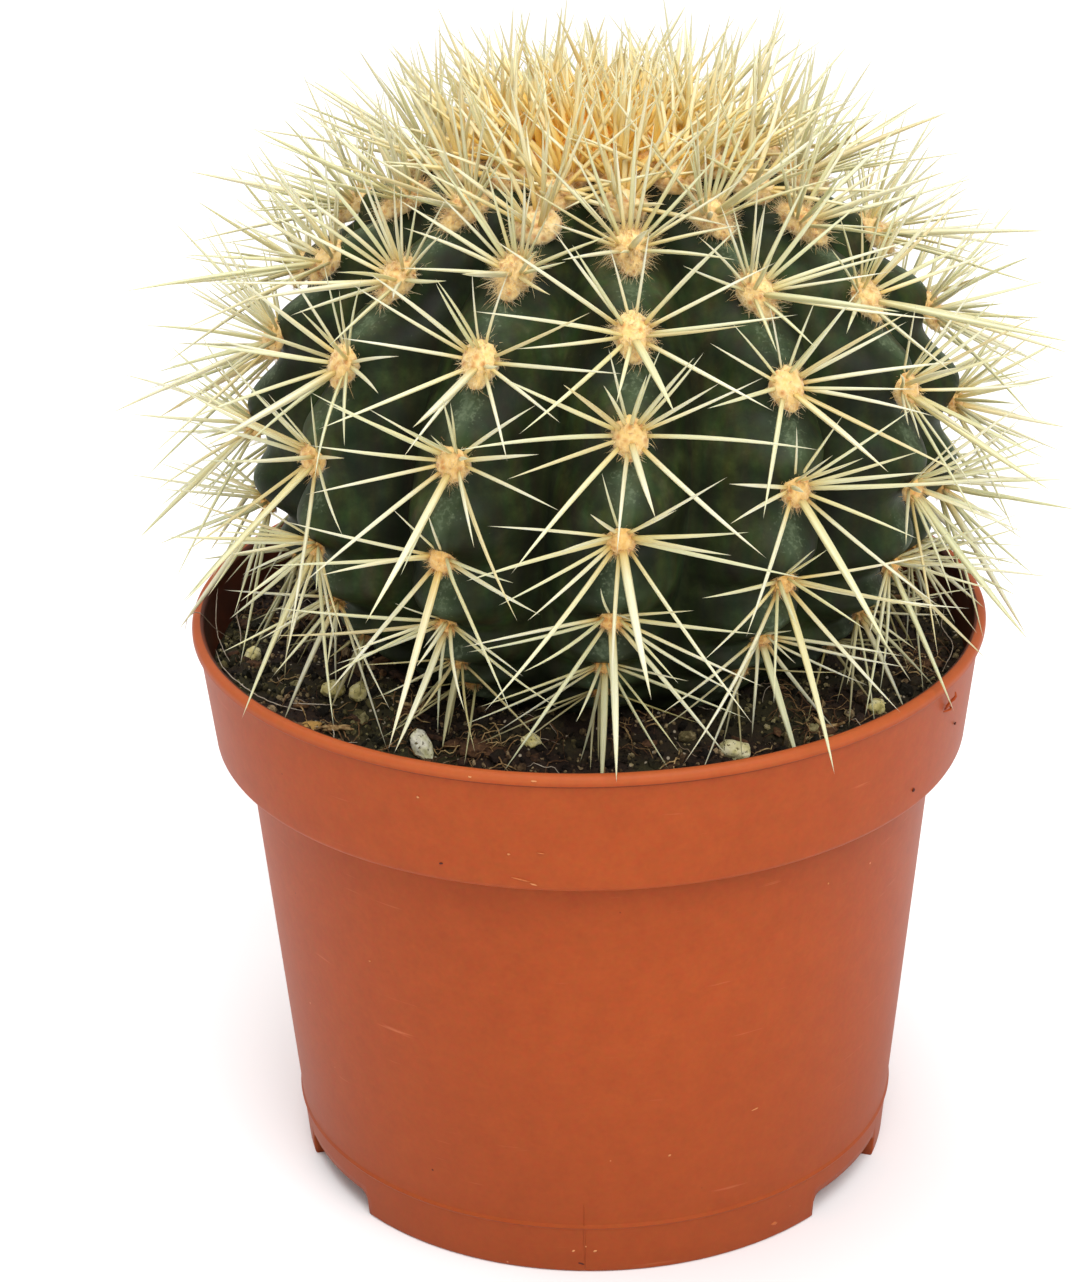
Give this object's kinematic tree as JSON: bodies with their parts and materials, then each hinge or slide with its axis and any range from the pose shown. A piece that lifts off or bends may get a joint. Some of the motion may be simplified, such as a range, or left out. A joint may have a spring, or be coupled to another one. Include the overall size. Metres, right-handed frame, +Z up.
{
  "type": "potted round cactus",
  "caption": "Globe-shaped ribbed cactus with woolly areoles, straw-coloured spines and a woolly crown, standing in soil in a round plastic nursery pot",
  "frame": {"origin": "centre of the pot's foot circle, on the surface that the pot stands on", "axes": "+Z runs up the pot and the plant, and -Y is the side that the picture shows"},
  "size_m": [0.1409, 0.14, 0.178],
  "materials": {
    "pot_plastic": "satin",
    "soil_peat": "matte",
    "stem_skin": "satin",
    "crown_straw": "matte",
    "pumice": "matte"
  },
  "bodies": {
    "root": {"pot": "pot_plastic", "soil": "soil_peat", "cactus_stem": "stem_skin", "crown_tuft": "crown_straw", "pumice_grain_1": "pumice", "pumice_grain_2": "pumice", "pumice_grain_3": "pumice", "pumice_grain_4": "pumice", "pumice_grain_5": "pumice", "pumice_grain_6": "pumice", "pumice_grain_7": "pumice", "pumice_grain_8": "pumice", "pumice_grain_9": "pumice", "pumice_grain_10": "pumice"}
  },
  "joints": []
}
